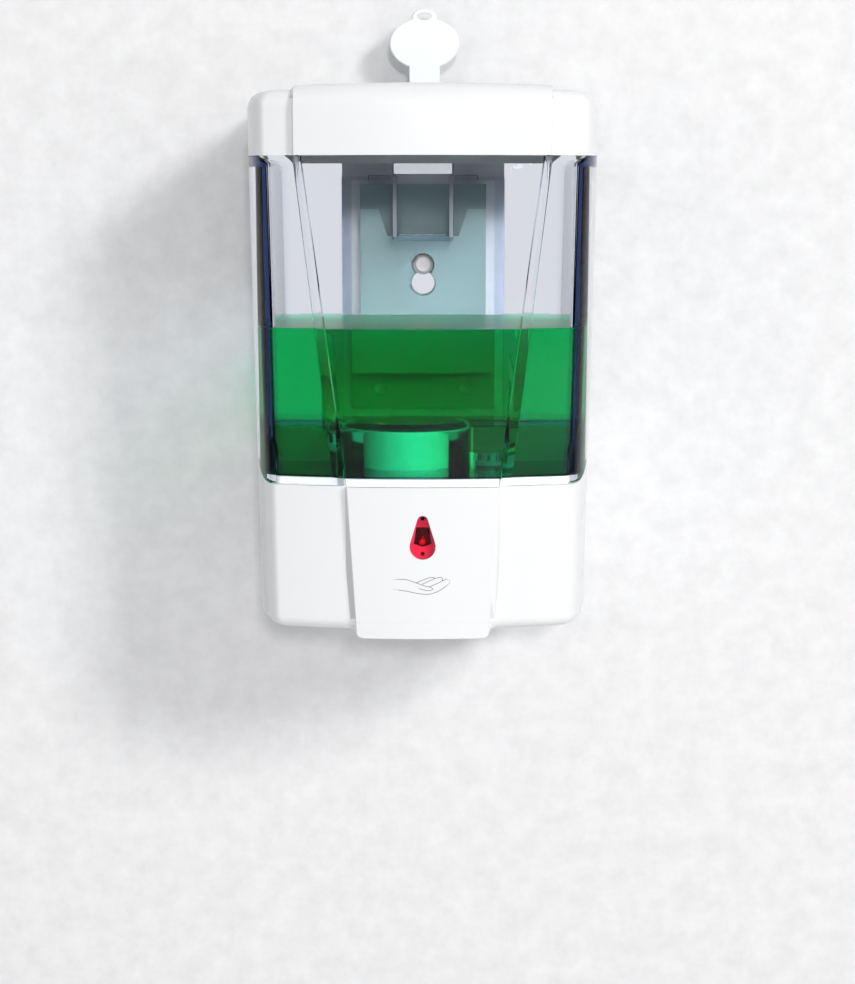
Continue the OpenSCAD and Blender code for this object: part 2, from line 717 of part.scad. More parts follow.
module motor() {
    color("#a9adb3") difference() {
        union() {
            rod(dome_x, dome_y, -79, -50, 12);
            rod(dome_x, dome_y, -50.1, -48.4, 3.2);
            rod(dome_x, dome_y, plate_z + 0.1, -78.9, 3.2);
        }
        rod(dome_x, dome_y, -90, -70, 1.05);
        for (s = [-1, 1])
            box([dome_x + min(s * 10.4, s * 13), dome_y - 13, -76], [dome_x + max(s * 10.4, s * 13), dome_y + 13, -52]);
    }
}
module motor_shaft() { color(steel) rod(dome_x, dome_y, -86.4, -70.2, 1); }
module motor_pinion() {
    color(brass) difference() {
        gear(dome_x, dome_y, upper_gear_z, upper_gear_z + gear_t, small_teeth, pinion_turn);
        rod(dome_x, dome_y, -100, -70, 1.01);
    }
}
module drive_plate(z0, z1) {
    box([rotor_x - post_x - 3.4, post_front_y - 3.2, z0], [rotor_x + post_x + 3.4, post_rear_y + 3.2, z1]);
}
module gear_plate() {
    color("#c9ccd1") difference() {
        drive_plate(plate_z, plate_z + plate_t);
        rod(dome_x, dome_y, -90, -70, 3.3);
        rod(idler_x, idler_y, -90, -70, 1);
        rod(rotor_x, rotor_y, -90, -70, 1.55);
        for (x = [-post_x, post_x])
            for (y = [post_rear_y, post_front_y])
                rod(rotor_x + x, y, -90, -70, 1.3);
    }
}
module idler_pin() { color(steel) rod(idler_x, idler_y, body_plate_z + 0.3, plate_z + plate_t, 0.99); }
module idler_gear() {
    color("#e9e2cf") difference() {
        union() {
            gear(idler_x, idler_y, upper_gear_z, upper_gear_z + gear_t, large_teeth, idler_upper_turn);
            gear(idler_x, idler_y, lower_gear_z, upper_gear_z + 0.1, small_teeth, idler_lower_turn);
        }
        rod(idler_x, idler_y, -100, -70, 1.04);
    }
}
module rotor_shaft() { color(steel) rod(rotor_x, rotor_y, chamber_z + 0.3, plate_z + plate_t, 1.5); }
module rotor_gear() {
    color("#e9e2cf") difference() {
        gear(rotor_x, rotor_y, lower_gear_z, lower_gear_z + gear_t, large_teeth, rotor_gear_turn);
        rod(rotor_x, rotor_y, -100, -70, 1.51);
    }
}

// ---- Pump ----
module pump_body() {
    color("#dfe3e8") difference() {
        union() {
            drive_plate(body_plate_z, body_plate_z + body_plate_t);
            rod(rotor_x, rotor_y, chamber_z, body_plate_z + 0.5, chamber_r + 1.6);
            for (x = [-post_x, post_x])
                for (y = [post_rear_y, post_front_y])
                    rod(rotor_x + x, y, body_plate_z, plate_z - 0.05, 3);
        }
        rod(rotor_x, rotor_y, chamber_z - 1, body_plate_z, chamber_r);
        rod(rotor_x, rotor_y, -100, -70, 1.55);
        rod(idler_x, idler_y, body_plate_z + 0.3, -70, 1);
        for (s = [-1, 1])
            box([rotor_x + s * tube_path_r - 3, rotor_y, tube_z - 3], [rotor_x + s * tube_path_r + 3, rotor_y + 22, tube_z + 3]);
        for (x = [-post_x, post_x])
            for (y = [post_rear_y, post_front_y])
                rod(rotor_x + x, y, -100, -70, 1.3);
    }
}
function roller_x(i) = rotor_x + roller_track_r * cos(120 * i + 30);
function roller_y(i) = rotor_y + roller_track_r * sin(120 * i + 30);
module pump_rotor() {
    color("#f0efe9") difference() {
        union() {
            rod(rotor_x, rotor_y, -92.8, -91.8, 11);
            rod(rotor_x, rotor_y, -102.4, -101.4, 11);
            rod(rotor_x, rotor_y, -102, -92, 4);
        }
        rod(rotor_x, rotor_y, -110, -80, 1.51);
        for (i = [0:2]) rod(roller_x(i), roller_y(i), -110, -80, 0.96);
    }
}
module roller_pins() { color(steel) for (i = [0:2]) rod(roller_x(i), roller_y(i), -102.4, -91.8, 0.95); }
module pump_roller(i) {
    color("#f7f7f2") difference() {
        rod(roller_x(i), roller_y(i), -101.2, -93, roller_r);
        rod(roller_x(i), roller_y(i), -110, -80, 1);
    }
}
module pump_cover() {
    color("#dfe3e8") difference() {
        union() {
            rod(rotor_x, rotor_y, chamber_z - 1.6, chamber_z, chamber_r + 1.6);
            rod(rotor_x, rotor_y, chamber_z - 0.1, chamber_z + 0.2, 3.4);
        }
        rod(rotor_x, rotor_y, chamber_z - 0.6, -100, 1.55);
    }
}
module pump_tube() {
    arc = [for (a = [0:-22.5:-180])
        [rotor_x + tube_path_r * cos(a), rotor_y + tube_path_r * sin(a), tube_z]];
    color([0.9, 0.9, 0.88, 0.8]) hose(concat(
        [[outlet_x, outlet_y, -78.3], [outlet_x, outlet_y, -84], [23, -60, -92], [19, -50.5, -96.5],
         [12.5, -48.5, tube_z], [rotor_x + tube_path_r, -56, tube_z]],
        arc,
        [[rotor_x - tube_path_r, -58, tube_z], [-22.5, -50.5, -99.5], [-27.5, -48.5, -105], [-30, -54, -109.4],
         [-28.5, -63, -109.8], [-24.5, -67.6, -109.8], [nozzle_x - 8.6, nozzle_y, -109.8]]),
        tube_r, steps = 3);
}
module pump_screws() {
    color(steel) for (x = [-post_x, post_x])
        for (y = [post_rear_y, post_front_y]) {
            rod(rotor_x + x, y, body_plate_z - 1.8, body_plate_z - 0.05, 2.4);
            rod(rotor_x + x, y, body_plate_z - 0.1, -70, 1.15);
        }
}

// ---- Nozzle ----
module outlet_nozzle() {
    color(white) difference() {
        union() {
            rod(nozzle_x, nozzle_y, -116, -107.4, 3.6);
            translate([nozzle_x, nozzle_y, -118.6]) cylinder(r1 = 2.8, r2 = 3.6, h = 2.61);
            rod(nozzle_x, nozzle_y, -114.3, -113.1, 5.6);
            rod_x(nozzle_y, -109.8, nozzle_x - 7.8, nozzle_x, 2.2);
        }
        rod(nozzle_x, nozzle_y, -113, -109.8, 1.4);
        rod(nozzle_x, nozzle_y, -119, -112.9, 2);
        rod_x(nozzle_y, -109.8, nozzle_x - 9, nozzle_x, 1.3);
    }
}
module drip_valve() {
    color([0.85, 0.85, 0.83, 0.9]) difference() {
        rod(nozzle_x, nozzle_y, -118.4, -113.2, 1.95);
        rod(nozzle_x, nozzle_y, -117.6, -113, 1.3);
        box([nozzle_x - 1.2, nozzle_y - 0.1, -119], [nozzle_x + 1.2, nozzle_y + 0.1, -117]);
    }
}

// ---- Lid, latch and key ----
notch_half = 16;
notch_y = -17;
lid_back = 2.5;
module lid() {
    color(white) difference() {
        union() {
            difference() {
                union() {
                    loft("lid", concat([[lid_z, 0, 0, lid_back]], round_up(lid_top_z - 2.3, 6, 0, lid_back)));
                    intersection() {
                        loft("lid", concat([[lid_z + 1, 0, 0, lid_back]], round_up(lid_top_z, 6, 0, lid_back)));
                        box([-lid_panel[1], -far, 0], [lid_panel[1], far, far]);
                    }
                }
                loft("lid", [
                    [lid_z - 1, 2.1, 2.1, lid_back + 2.1], [lid_top_z - 8, 2.1, 2.1, lid_back + 2.1],
                    [lid_top_z - 4.2, 6, 6, lid_back + 3.5]]);
            }
            // Front hooks, and the rear tab that the latch holds
            for (s = [-1, 1])
                box([s * hook_x - 1.4, -92.6, 49.2], [s * hook_x + 1.4, -88.5, lid_top_z - 3.5]);
            box([-8, -22.5, 57.8], [8, -20.5, lid_top_z - 3.5]);
        }
        box([-notch_half, notch_y, 0], [notch_half, 5, far]);
        box([-far, -9, 0], [far, 5, 66]);
    }
}
module lid_latch() {
    color([0.9, 0.9, 0.92, 0.8]) difference() {
        box([-9.8, -24, 53.1], [9.8, -17.8, 57.4]);
        rod_y(0, 55.2, -25, -21, 1.7);
    }
}
module latch_spring() {
    color(steel) for (k = [0:9])
        translate([0, -28.5 + 0.78 * k, 55.2]) rotate([90, 0, 0])
            rotate_extrude() translate([1.2, 0]) circle(r = 0.43, $fn = 16);
}
module key() {
    head_z = 103.5;
    color("#eef2f8") upright(key_y, key_y + key_t) difference() {
        union() {
            polygon(oval(key_x, head_z, 14, 10.2));
            translate([key_x - 6.2, 63]) square([12.4, 33]);
            polygon([[key_x - 6.2, 63.01], [key_x - 4, 60], [key_x + 4, 60], [key_x + 6.2, 63.01]]);
            polygon(oval(key_x, 113.6, 5, 3.6));
        }
        polygon(oval(key_x, 114, 3, 1.45));
    }
}

wall_bracket();
wall_screw();
wall_plug();
tank();
liquid_soap();
tank_outlet();
outlet_seal();
chassis();
front_cover();
rear_housing();
case_screws();
sensor_window();
sensor_shroud();
sensor_board();
ir_emitter();
ir_receiver();
status_led();
circuit_board();
board_components();
board_screws();
battery_box();
battery(0);  // battery_1
battery(1);  // battery_2
battery(2);  // battery_3
battery(3);  // battery_4
top_contacts();
battery_leads();
motor_leads();
battery_seal();
battery_door();
door_contacts();
power_switch();
switch_knob();
motor();
motor_shaft();
motor_pinion();
gear_plate();
idler_pin();
idler_gear();
rotor_shaft();
rotor_gear();
pump_body();
pump_rotor();
roller_pins();
pump_roller(0);  // pump_roller_1
pump_roller(1);  // pump_roller_2
pump_roller(2);  // pump_roller_3
pump_cover();
pump_tube();
pump_screws();
outlet_nozzle();
drip_valve();
lid();
lid_latch();
latch_spring();
key();
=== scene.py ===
import math

import bmesh
import bpy
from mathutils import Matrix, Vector


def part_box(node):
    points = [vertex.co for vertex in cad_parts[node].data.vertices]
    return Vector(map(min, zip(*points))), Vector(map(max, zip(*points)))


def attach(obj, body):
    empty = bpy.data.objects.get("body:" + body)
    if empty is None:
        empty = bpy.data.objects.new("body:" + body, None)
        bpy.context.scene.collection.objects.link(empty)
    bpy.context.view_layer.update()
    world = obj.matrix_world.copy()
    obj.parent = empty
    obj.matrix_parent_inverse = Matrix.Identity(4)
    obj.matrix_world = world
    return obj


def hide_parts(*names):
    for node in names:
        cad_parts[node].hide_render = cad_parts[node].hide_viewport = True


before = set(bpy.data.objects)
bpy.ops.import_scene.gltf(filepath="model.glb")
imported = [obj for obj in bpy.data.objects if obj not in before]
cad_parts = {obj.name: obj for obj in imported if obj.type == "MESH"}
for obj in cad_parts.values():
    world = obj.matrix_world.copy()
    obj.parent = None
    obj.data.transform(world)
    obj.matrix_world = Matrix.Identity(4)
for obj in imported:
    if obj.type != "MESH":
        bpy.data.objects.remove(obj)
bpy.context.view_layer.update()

# ---- Wall bracket, its screw and plug ----
# The bracket is a grey-blue ABS moulding, screwed flat to the wall; the dispenser hangs on its top edge.
# A zinc plated pan-head screw holds it in a nylon plug, and shows through the tank in the keyhole.
# Lengths in this script are in mm, and MM turns them into metres. The stage and the lamps are in metres.
MM = 0.001


def linear(code):
    """The shader's linear colour for an sRGB hex value."""
    parts = [int(code[i : i + 2], 16) / 255 for i in (1, 3, 5)]
    return (*[p / 12.92 if p <= 0.04045 else ((p + 0.055) / 1.055) ** 2.4 for p in parts], 1)


def add(tree, kind, inputs=None, **settings):
    """Adds a shader node; an input is a value, or the output that it is linked from."""
    made = tree.nodes.new("ShaderNode" + kind)
    for name, value in settings.items():
        setattr(made, name, value)
    for name, value in (inputs or {}).items():
        if isinstance(value, bpy.types.NodeSocket):
            tree.links.new(value, made.inputs[name])
        else:
            made.inputs[name].default_value = value
    return made


def compute(tree, operation, *values):
    """The output of a math node that works on values or outputs."""
    return add(tree, "Math", dict(enumerate(values)), operation=operation).outputs[0]


def along(tree, axis):
    """The place along one of the object's own axes, in metres."""
    return add(tree, "SeparateXYZ", {"Vector": add(tree, "TexCoord").outputs["Object"]}).outputs[axis]


def start_material(name):
    """An empty material, and its node tree."""
    material = bpy.data.materials.new(name)
    material.use_nodes = True
    material.node_tree.nodes.clear()
    return material, material.node_tree


def relief(tree, place, size, depth, detail=3, stretch=(1, 1, 1)):
    """Bumps about size across and depth high, in mm; gives their normal and the noise behind them."""
    spread = add(tree, "Mapping", {"Vector": place, "Scale": tuple(1 / s for s in stretch)})
    noise = add(tree, "TexNoise", {
        "Vector": spread.outputs["Vector"], "Scale": 1 / (size * MM), "Detail": detail,
    })
    bump = add(tree, "Bump", {"Height": noise.outputs["Fac"], "Distance": depth * MM, "Strength": 1})
    return bump.outputs["Normal"], noise.outputs["Fac"]


def patches(tree, place, code, share, size):
    """The colour, a little darker in soft patches about size mm across."""
    noise = add(tree, "TexNoise", {"Vector": place, "Scale": 1 / (size * MM), "Detail": 2}).outputs["Fac"]
    colour = linear(code)
    mix = add(tree, "Mix", {"Factor": noise}, data_type="RGBA")
    mix.inputs["A"].default_value = colour
    mix.inputs["B"].default_value = (*[c * (1 - share) for c in colour[:3]], 1)
    return mix.outputs["Result"]


def surface(name, code, roughness, size, depth, patch=0.03, patch_size=25, stretch=(1, 1, 1), **inputs):
    """An opaque or cloudy solid: colour in faint patches, fine relief, and gloss that varies with it."""
    material, tree = start_material(name)
    place = add(tree, "TexCoord").outputs["Object"]
    normal, noise = relief(tree, place, size, depth, stretch=stretch)
    smoothest, roughest = 0.85 * roughness, 1.2 * roughness
    rough = add(tree, "MapRange", {"Value": noise, "To Min": smoothest, "To Max": roughest})
    shader = add(tree, "BsdfPrincipled", {
        "Base Color": patches(tree, place, code, patch, patch_size), "Roughness": rough.outputs["Result"],
        "Normal": normal, **inputs,
    })
    add(tree, "OutputMaterial", {"Surface": shader.outputs["BSDF"]})
    return material


def dress(material, *names):
    """Gives the material to nodes that keep their solids."""
    for name in names:
        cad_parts[name].data.materials.clear()
        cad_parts[name].data.materials.append(material)


bracket_abs = surface("bracket_abs_painted_shadow", "#93b0ae", 0.5, 0.5, 0.006, IOR=1.52)
# Its top is painted darker, down to an edge that dips in the middle under the key's well: a painted shadow
# of the lid and of the well. It is a look, not a shape.
DIP_LOW, DIP_HIGH = 27, 38
DIP_INNER, DIP_OUTER = 14.4, 18
PAINTED_SHADOW_TOP = 50
tree = bracket_abs.node_tree
height = along(tree, "Z")
edge = add(tree, "MapRange", {
    "Value": compute(tree, "ABSOLUTE", along(tree, "X")),
    "From Min": DIP_INNER * MM, "From Max": DIP_OUTER * MM, "To Min": DIP_LOW * MM, "To Max": DIP_HIGH * MM,
})
shade = add(tree, "MapRange", {
    "Value": height, "From Min": DIP_LOW * MM, "From Max": PAINTED_SHADOW_TOP * MM, "To Min": 0.35, "To Max": 1.0,
})
above = compute(tree, "GREATER_THAN", height, edge.outputs["Result"])
shader = tree.nodes["Principled BSDF"]
plain = shader.inputs["Base Color"].links[0].from_socket
# darker lays on the painted shadow: the colour times the shade, above the edge
darker = add(tree, "Mix", {"Factor": above}, data_type="RGBA", blend_type="MULTIPLY")
tree.links.new(plain, darker.inputs["A"])
tree.links.new(shade.outputs["Result"], darker.inputs["B"])
tree.links.new(darker.outputs["Result"], shader.inputs["Base Color"])
dress(bracket_abs, "wall_bracket")
dress(
    surface("zinc_plated_steel", "#b9bcc0", 0.33, 0.4, 0.002, 0.08, 3, (1, 1, 5), Metallic=1.0),
    "case_screws", "board_screws", "pump_screws",
)
screw_zinc = surface("screw_bright_zinc", "#eee4e0", 0.6, 0.4, 0.002, 0.08, 3, (1, 1, 5), Metallic=0.5)
dress(screw_zinc, "wall_screw")
dress(surface("plug_nylon", "#8d969e", 0.6, 0.3, 0.004, IOR=1.53), "wall_plug")

# ---- Tank ----
# One clear SAN moulding, faintly lilac: a crowned front whose raised panel narrows downwards, a neck under
# the lid, and at its back a channel for the bracket and a well for the key. Its floor steps up at the rear
# and has a round hump over the pump's motor. The CAD's tank has plain thin sides. Here they are thick, with
# an air pocket in each, which is only a means to give the dark bands at the edges.
SEAM_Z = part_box("tank")[0].z / MM
RIM_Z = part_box("tank")[1].z / MM
LID_Z = 58
RISE = 2.6
FRONT = -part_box("lid")[0].y / MM - RISE
LID_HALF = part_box("lid")[1].x / MM
SEAM_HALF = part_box("front_cover")[1].x / MM
WALL, SIDE_WALL = 2.4, 9
BACK = 8
CROWN, CORNER, FLARE, REAR_CORNER = 7, 8.6, 32, 4
# A panel's edge is given as (height, outer half width, inner half width)
PANEL_LOW, PANEL_HIGH = (SEAM_Z, 32.7, 28.2), (LID_Z, 47.1, 44.2)
INSIDE_PANEL_LOW, INSIDE_PANEL_HIGH = (SEAM_Z, 31.8, 27.6), (LID_Z, 46.2, 43.6)
FOOT_PANEL_LOW, FOOT_PANEL_HIGH = (SEAM_Z - 8, 31.6, 27.2), (-50, 33.6, 29.2)
NECK_PANEL = (46.6, 43.8)
NECK_SET = 2.5
LEDGE_Y, LEDGE_Z = -42, -43
HUMP_X, HUMP_Y, HUMP_R = -6, -52, 23.5
CHANNEL_HALF_FRONT, CHANNEL_HALF_REAR, CHANNEL_Y, CHANNEL_TOP = 28.6, 28.9, -18, 49.5
WELL_HALF, WELL_Y, WELL_FLOOR = 10.1, -29, 27.5
HANGER_X, HOOK_X = 17.5, 45.6
OUTLET_X, OUTLET_Y, OUTLET_R = 24, -66, 4.2
# The housing's sides rise to this height
SIDE_TOP_Z = -53.2
# Blocks that only cut reach this far, past the whole tank
FAR = 90


def edit(piece):
    """Opens the piece in edit mode, with all of it selected."""
    bpy.ops.object.select_all(action="DESELECT")
    bpy.context.view_layer.objects.active = piece
    piece.select_set(True)
    bpy.ops.object.mode_set(mode="EDIT")
    bpy.ops.mesh.select_all(action="SELECT")


def done(merge=0.002):
    """Leaves edit mode, with the piece at the origin and its normals outward."""
    bpy.ops.mesh.select_mode(type="VERT")
    bpy.ops.mesh.select_all(action="SELECT")
    bpy.ops.mesh.remove_doubles(threshold=merge * MM)
    bpy.ops.mesh.normals_make_consistent(inside=False)
    bpy.ops.object.mode_set(mode="OBJECT")
    bpy.ops.object.transform_apply(location=True, rotation=True, scale=True)
    return bpy.context.object


def pick(kind, test):
    """Selects the corners, edges or faces of the edited piece whose corners, in mm, all pass the test."""
    bpy.ops.mesh.select_mode(type=kind)
    bpy.ops.mesh.select_all(action="DESELECT")
    mesh = bmesh.from_edit_mesh(bpy.context.object.data)
    for part in {"VERT": mesh.verts, "EDGE": mesh.edges, "FACE": mesh.faces}[kind]:
        if all(test(v.co / MM) for v in ([part] if kind == "VERT" else part.verts)):
            part.select_set(True)
    mesh.select_flush_mode()
    bmesh.update_edit_mesh(bpy.context.object.data)


def draw_out(move):
    """Moves each corner of the edited piece by the step, in mm, that move gives for its place."""
    mesh = bmesh.from_edit_mesh(bpy.context.object.data)
    for v in mesh.verts:
        v.co += Vector(move(v.co / MM)) * MM
    bmesh.update_edit_mesh(bpy.context.object.data)


def cut(co, normal):
    """Cuts what is selected of the edited piece with a plane."""
    bpy.ops.mesh.bisect(plane_co=[c * MM for c in co], plane_no=Vector(normal).normalized())


def plan_block(levels, back, corner=CORNER, flare=FLARE, columns=34):
    """A block with the body's plan outline, drawn up through levels of (height, half width, front)."""
    z, half, front = levels[0]
    bpy.ops.mesh.primitive_plane_add(size=MM)
    edit(bpy.context.object)
    bpy.ops.transform.resize(value=(2 * half, front - back, 1))
    bpy.ops.transform.translate(value=(0, -(front + back) / 2 * MM, z * MM))
    pick("VERT", lambda p: p.y > -back - 0.1)
    bpy.ops.mesh.bevel(offset=REAR_CORNER * MM, segments=6, affect="VERTICES", clamp_overlap=False)
    # With Y squeezed, a round corner comes out as the body's, which flares back along the side
    centre = (0, -front * MM, z * MM)
    bpy.ops.mesh.select_all(action="SELECT")
    bpy.ops.transform.resize(value=(1, corner / flare, 1), center_override=centre)
    pick("VERT", lambda p: p.y < -front + 0.01)
    bpy.ops.mesh.bevel(offset=corner * MM, segments=16, affect="VERTICES", clamp_overlap=False)
    bpy.ops.mesh.select_all(action="SELECT")
    bpy.ops.transform.resize(value=(1, flare / corner, 1), center_override=centre)
    pick("EDGE", lambda p: p.y < -front + 0.01)
    bpy.ops.mesh.subdivide(number_cuts=columns - 1)
    flat = half_at(z) - CORNER
    draw_out(lambda p: (0, CROWN * (p.x / flat) ** 2 if p.y < -front + flare + 0.01 else 0, 0))
    bpy.ops.mesh.select_mode(type="FACE")
    bpy.ops.mesh.select_all(action="SELECT")
    for (z0, half0, front0), (z1, half1, front1) in zip(levels, levels[1:]):
        bpy.ops.mesh.extrude_region_move(TRANSFORM_OT_translate={"value": (0, 0, (z1 - z0) * MM)})
        grow = (half1 / half0, (front1 - back) / (front0 - back), 1)
        bpy.ops.transform.resize(value=grow, center_override=(0, -back * MM, z1 * MM))
    return done()


def raise_panel(piece, low, high, reach=CROWN + 3):
    """Cuts the front along the slanted edges of its panel, and draws out what lies between them."""
    edit(piece)
    for outer_low, outer_high in zip(low[1:], high[1:]):
        for side in (-1, 1):
            pick("FACE", lambda p: p.y < -FRONT + reach)
            cut((side * outer_low, 0, low[0]), (high[0] - low[0], 0, side * (outer_low - outer_high)))

    def inner(z):
        return low[2] + (high[2] - low[2]) * (z - low[0]) / (high[0] - low[0])

    draw_out(lambda p: (0, -RISE if p.y < -FRONT + reach and abs(p.x) < inner(p.z) + 0.02 else 0, 0))
    return done()


def block(low, high, bevel=0, test=None, segments=4):
    """A box between two corners, with the edges that pass the test rounded."""
    bpy.ops.mesh.primitive_cube_add(size=MM)
    edit(bpy.context.object)
    bpy.ops.transform.resize(value=[b - a for a, b in zip(low, high)])
    bpy.ops.transform.translate(value=[(b + a) / 2 * MM for a, b in zip(low, high)])
    if bevel:
        pick("EDGE", test or (lambda p: True))
        bpy.ops.mesh.bevel(offset=bevel * MM, segments=segments, affect="EDGES")
    return done()


def drum(x, y, low, high, radius, bevel=0, sides=96, axis="Z"):
    """A cylinder from low to high along its axis through (x, y), or (x, z) where it lies along Y."""
    bpy.ops.mesh.primitive_cylinder_add(vertices=sides, radius=radius * MM, depth=(high - low) * MM)
    edit(bpy.context.object)
    for end in (-1, 1) if bevel else ():
        pick("EDGE", lambda p: p.z * end > (high - low) / 2 - 0.01)
        bpy.ops.mesh.bevel(offset=bevel * MM, segments=6, affect="EDGES")
    bpy.ops.mesh.select_all(action="SELECT")
    if axis == "Y":
        bpy.ops.transform.rotate(value=math.pi / 2, orient_axis="X", center_override=(0, 0, 0))
        bpy.ops.transform.translate(value=(x * MM, (low + high) / 2 * MM, y * MM))
    else:
        bpy.ops.transform.translate(value=(x * MM, y * MM, (low + high) / 2 * MM))
    return done()


def combine(piece, *tools, how="DIFFERENCE"):
    """Takes the tools from the piece, joins them to it, or keeps what they share."""
    for tool in tools:
        modifier = piece.modifiers.new("combine", "BOOLEAN")
        modifier.operation, modifier.object, modifier.solver = how, tool, "MANIFOLD"
        bpy.context.view_layer.objects.active = piece
        bpy.ops.object.modifier_apply(modifier=modifier.name)
        bpy.data.objects.remove(tool)
    return piece


def smooth(piece, angle=30):
    """Shades curves smooth and keeps flat faces flat."""
    bpy.ops.object.select_all(action="DESELECT")
    bpy.context.view_layer.objects.active = piece
    piece.select_set(True)
    bpy.ops.object.shade_smooth_by_angle(angle=math.radians(angle))
    modifier = piece.modifiers.new("flats", "WEIGHTED_NORMAL")
    modifier.keep_sharp = True
    bpy.ops.object.modifier_apply(modifier=modifier.name)


def hand_over(piece, name, material, body, slot, *replaced):
    """Names and dresses a finished piece, and says what it rides on and what it replaces; slot is not used.
    """
    piece.name = name
    piece.data.materials.clear()
    piece.data.materials.append(material)
    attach(piece, body)
    if replaced:
        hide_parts(*replaced)


def half_at(z):
    """Half the width of the tank's outside at a height."""
    return SEAM_HALF + (LID_HALF - SEAM_HALF) * (min(z, LID_Z) - SEAM_Z) / (LID_Z - SEAM_Z)


def level(z, side, front=None):
    """A level of the tank's outline, moved in from its outside by side and front."""
    return (z, half_at(z) - side, FRONT - (side if front is None else front))


def wing_block(half, low, lift=0.0):
    """All that lies below the S-shaped line along which the housing's sides rise, half wide each way."""
    start, end, top, steps = -97, -70, SIDE_TOP_Z, 12
    piece = block((-half, start - 0.5, low), (half, 12, SEAM_Z + lift))
    edit(piece)
    for step in range(steps + 1):
        bpy.ops.mesh.select_all(action="SELECT")
        cut((0, start + (end - start) * step / steps, 0), (0, 1, 0))

    def risen(y):
        t = min(max((y - start) / (end - start), 0), 1)
        return (top - SEAM_Z) * (1 - math.cos(math.pi * t)) / 2

    draw_out(lambda p: (0, 0, risen(p.y) if p.z > SEAM_Z + lift - 0.1 else 0))
    return done()


def channel_block(grow, front_half=CHANNEL_HALF_FRONT, rear_half=CHANNEL_HALF_REAR):
    """The space behind the tank for the wall bracket, narrower in front, and deeper and higher by grow."""
    front = CHANNEL_Y - grow
    piece = block((-rear_half, front, SEAM_Z - 10), (rear_half, 1 - BACK, CHANNEL_TOP + grow))
    edit(piece)
    pick("VERT", lambda p: p.y < front + 0.1)
    bpy.ops.transform.resize(value=(front_half / rear_half, 1, 1), center_override=(0, 0, 0))
    return done()


def tank_inside(grow=0.0, top=RIM_Z + 1):
    """The hollow of the tank, larger all round by grow, up to the height top."""
    front, side = WALL - grow, SIDE_WALL - grow
    low_side, neck = side + 0.8, 4.7 - grow
    levels = [level(-58.7 - grow, low_side, front), level(-50, low_side, front), level(-46.5, side, front)]
    if top > LID_Z:
        levels += [level(LID_Z - 3, side, front), level(LID_Z + 1, neck), level(top, neck)]
    else:
        levels += [level(top, side, front)]
    piece = plan_block(levels, BACK + WALL - grow, 2, 3)
    raise_panel(piece, INSIDE_PANEL_LOW, INSIDE_PANEL_HIGH)
    ledge = block(
        (-FAR, LEDGE_Y + grow, -FAR), (FAR, 12, LEDGE_Z - grow), 3.5,
        lambda p: p.z > LEDGE_Z - 1 and p.y < LEDGE_Y + 1, 6,
    )
    hump = drum(HUMP_X, HUMP_Y, -FAR, LEDGE_Z + 1 - grow, HUMP_R - grow, 3)
    channel_skin = channel_block(1.4 - grow, CHANNEL_HALF_FRONT + 4 - grow, CHANNEL_HALF_REAR + 4.1 - grow)
    skin = 2 - grow
    well_skin = block((-WELL_HALF - skin, WELL_Y - skin, WELL_FLOOR - skin), (WELL_HALF + skin, 1, RIM_Z + 2))
    return combine(piece, ledge, hump, channel_skin, well_skin)


tank = plan_block([level(SEAM_Z, 0), level(LID_Z - 0.3, 0)], BACK)
raise_panel(tank, PANEL_LOW, PANEL_HIGH)
neck = plan_block([(z, LID_HALF - NECK_SET, FRONT - NECK_SET) for z in (LID_Z - 1, RIM_Z)], BACK + 1)
raise_panel(neck, (LID_Z - 2, *NECK_PANEL), (RIM_Z, *NECK_PANEL))
combine(tank, neck, how="UNION")
for side in (-1, 1):
    near, away = side * HANGER_X - 4.5, side * HANGER_X + 4.5
    hanger = block((near, -9, CHANNEL_TOP + 0.1), (away, -3.9, CHANNEL_TOP + 2.1), 0.4)
    combine(hanger, block((near, -6.3, 42), (away, -3.9, CHANNEL_TOP + 2.1), 0.4), how="UNION")
    combine(tank, hanger, how="UNION")
foot = wing_block(FAR, SEAM_Z - 6, 0.25)
foot_core = plan_block([level(SEAM_Z - 8, 2.6), level(-50, 2.6)], 0)
combine(foot, raise_panel(foot_core, FOOT_PANEL_LOW, FOOT_PANEL_HIGH))
combine(tank, foot, tank_inside())


def rim_ring(outer, inner, low, high):
    """A band that follows the front and sides of the foot, between two distances in from its outside."""
    piece = plan_block([(z, SEAM_HALF - outer, FRONT - outer) for z in (low, high)], 0)
    raise_panel(piece, FOOT_PANEL_LOW, FOOT_PANEL_HIGH)
    core = plan_block([(z, SEAM_HALF - inner, FRONT - inner) for z in (low - 1, high + 1)], -1)
    narrower = [(z, half_outer - 0.3, half_inner - 0.3)
                for z, half_outer, half_inner in (FOOT_PANEL_LOW, FOOT_PANEL_HIGH)]
    raise_panel(core, *narrower)
    return combine(piece, core, block((-FAR, -90, low - 2), (FAR, 5, high + 2)))


foot_groove = rim_ring(2.3, 6, SEAM_Z - 1, -59.3)
skin, pocket_half = 0.7, 60.5
pockets = plan_block([level(-55, skin), level(LID_Z - 4, skin)], BACK + WALL)
combine(pockets, block((-pocket_half, -130, -FAR), (pocket_half, 10, FAR)))
combine(tank, foot_groove, pockets)
for side in (-1, 1):
    slot = block((side * HOOK_X - 2.2, -102, LID_Z + 2.6), (side * HOOK_X + 2.2, -91, RIM_Z + 1), 0.5)
    combine(tank, slot)
under_ledge = block((-58, LEDGE_Y + 2.2, -70), (58, 20, LEDGE_Z - 2.4), 2, lambda p: p.z > -46 and p.y < -39)
under_hump = drum(HUMP_X, HUMP_Y, -70, LEDGE_Z - 1.4, HUMP_R - 2.2, 2)
channel = channel_block(0)
combine(channel, block((-22.2, -6.35, 41.9), (22.2, 5, 53)))
well = block((-WELL_HALF, WELL_Y, WELL_FLOOR), (WELL_HALF, 1, RIM_Z + 1), 1, lambda p: p.z < WELL_FLOOR + 0.5)
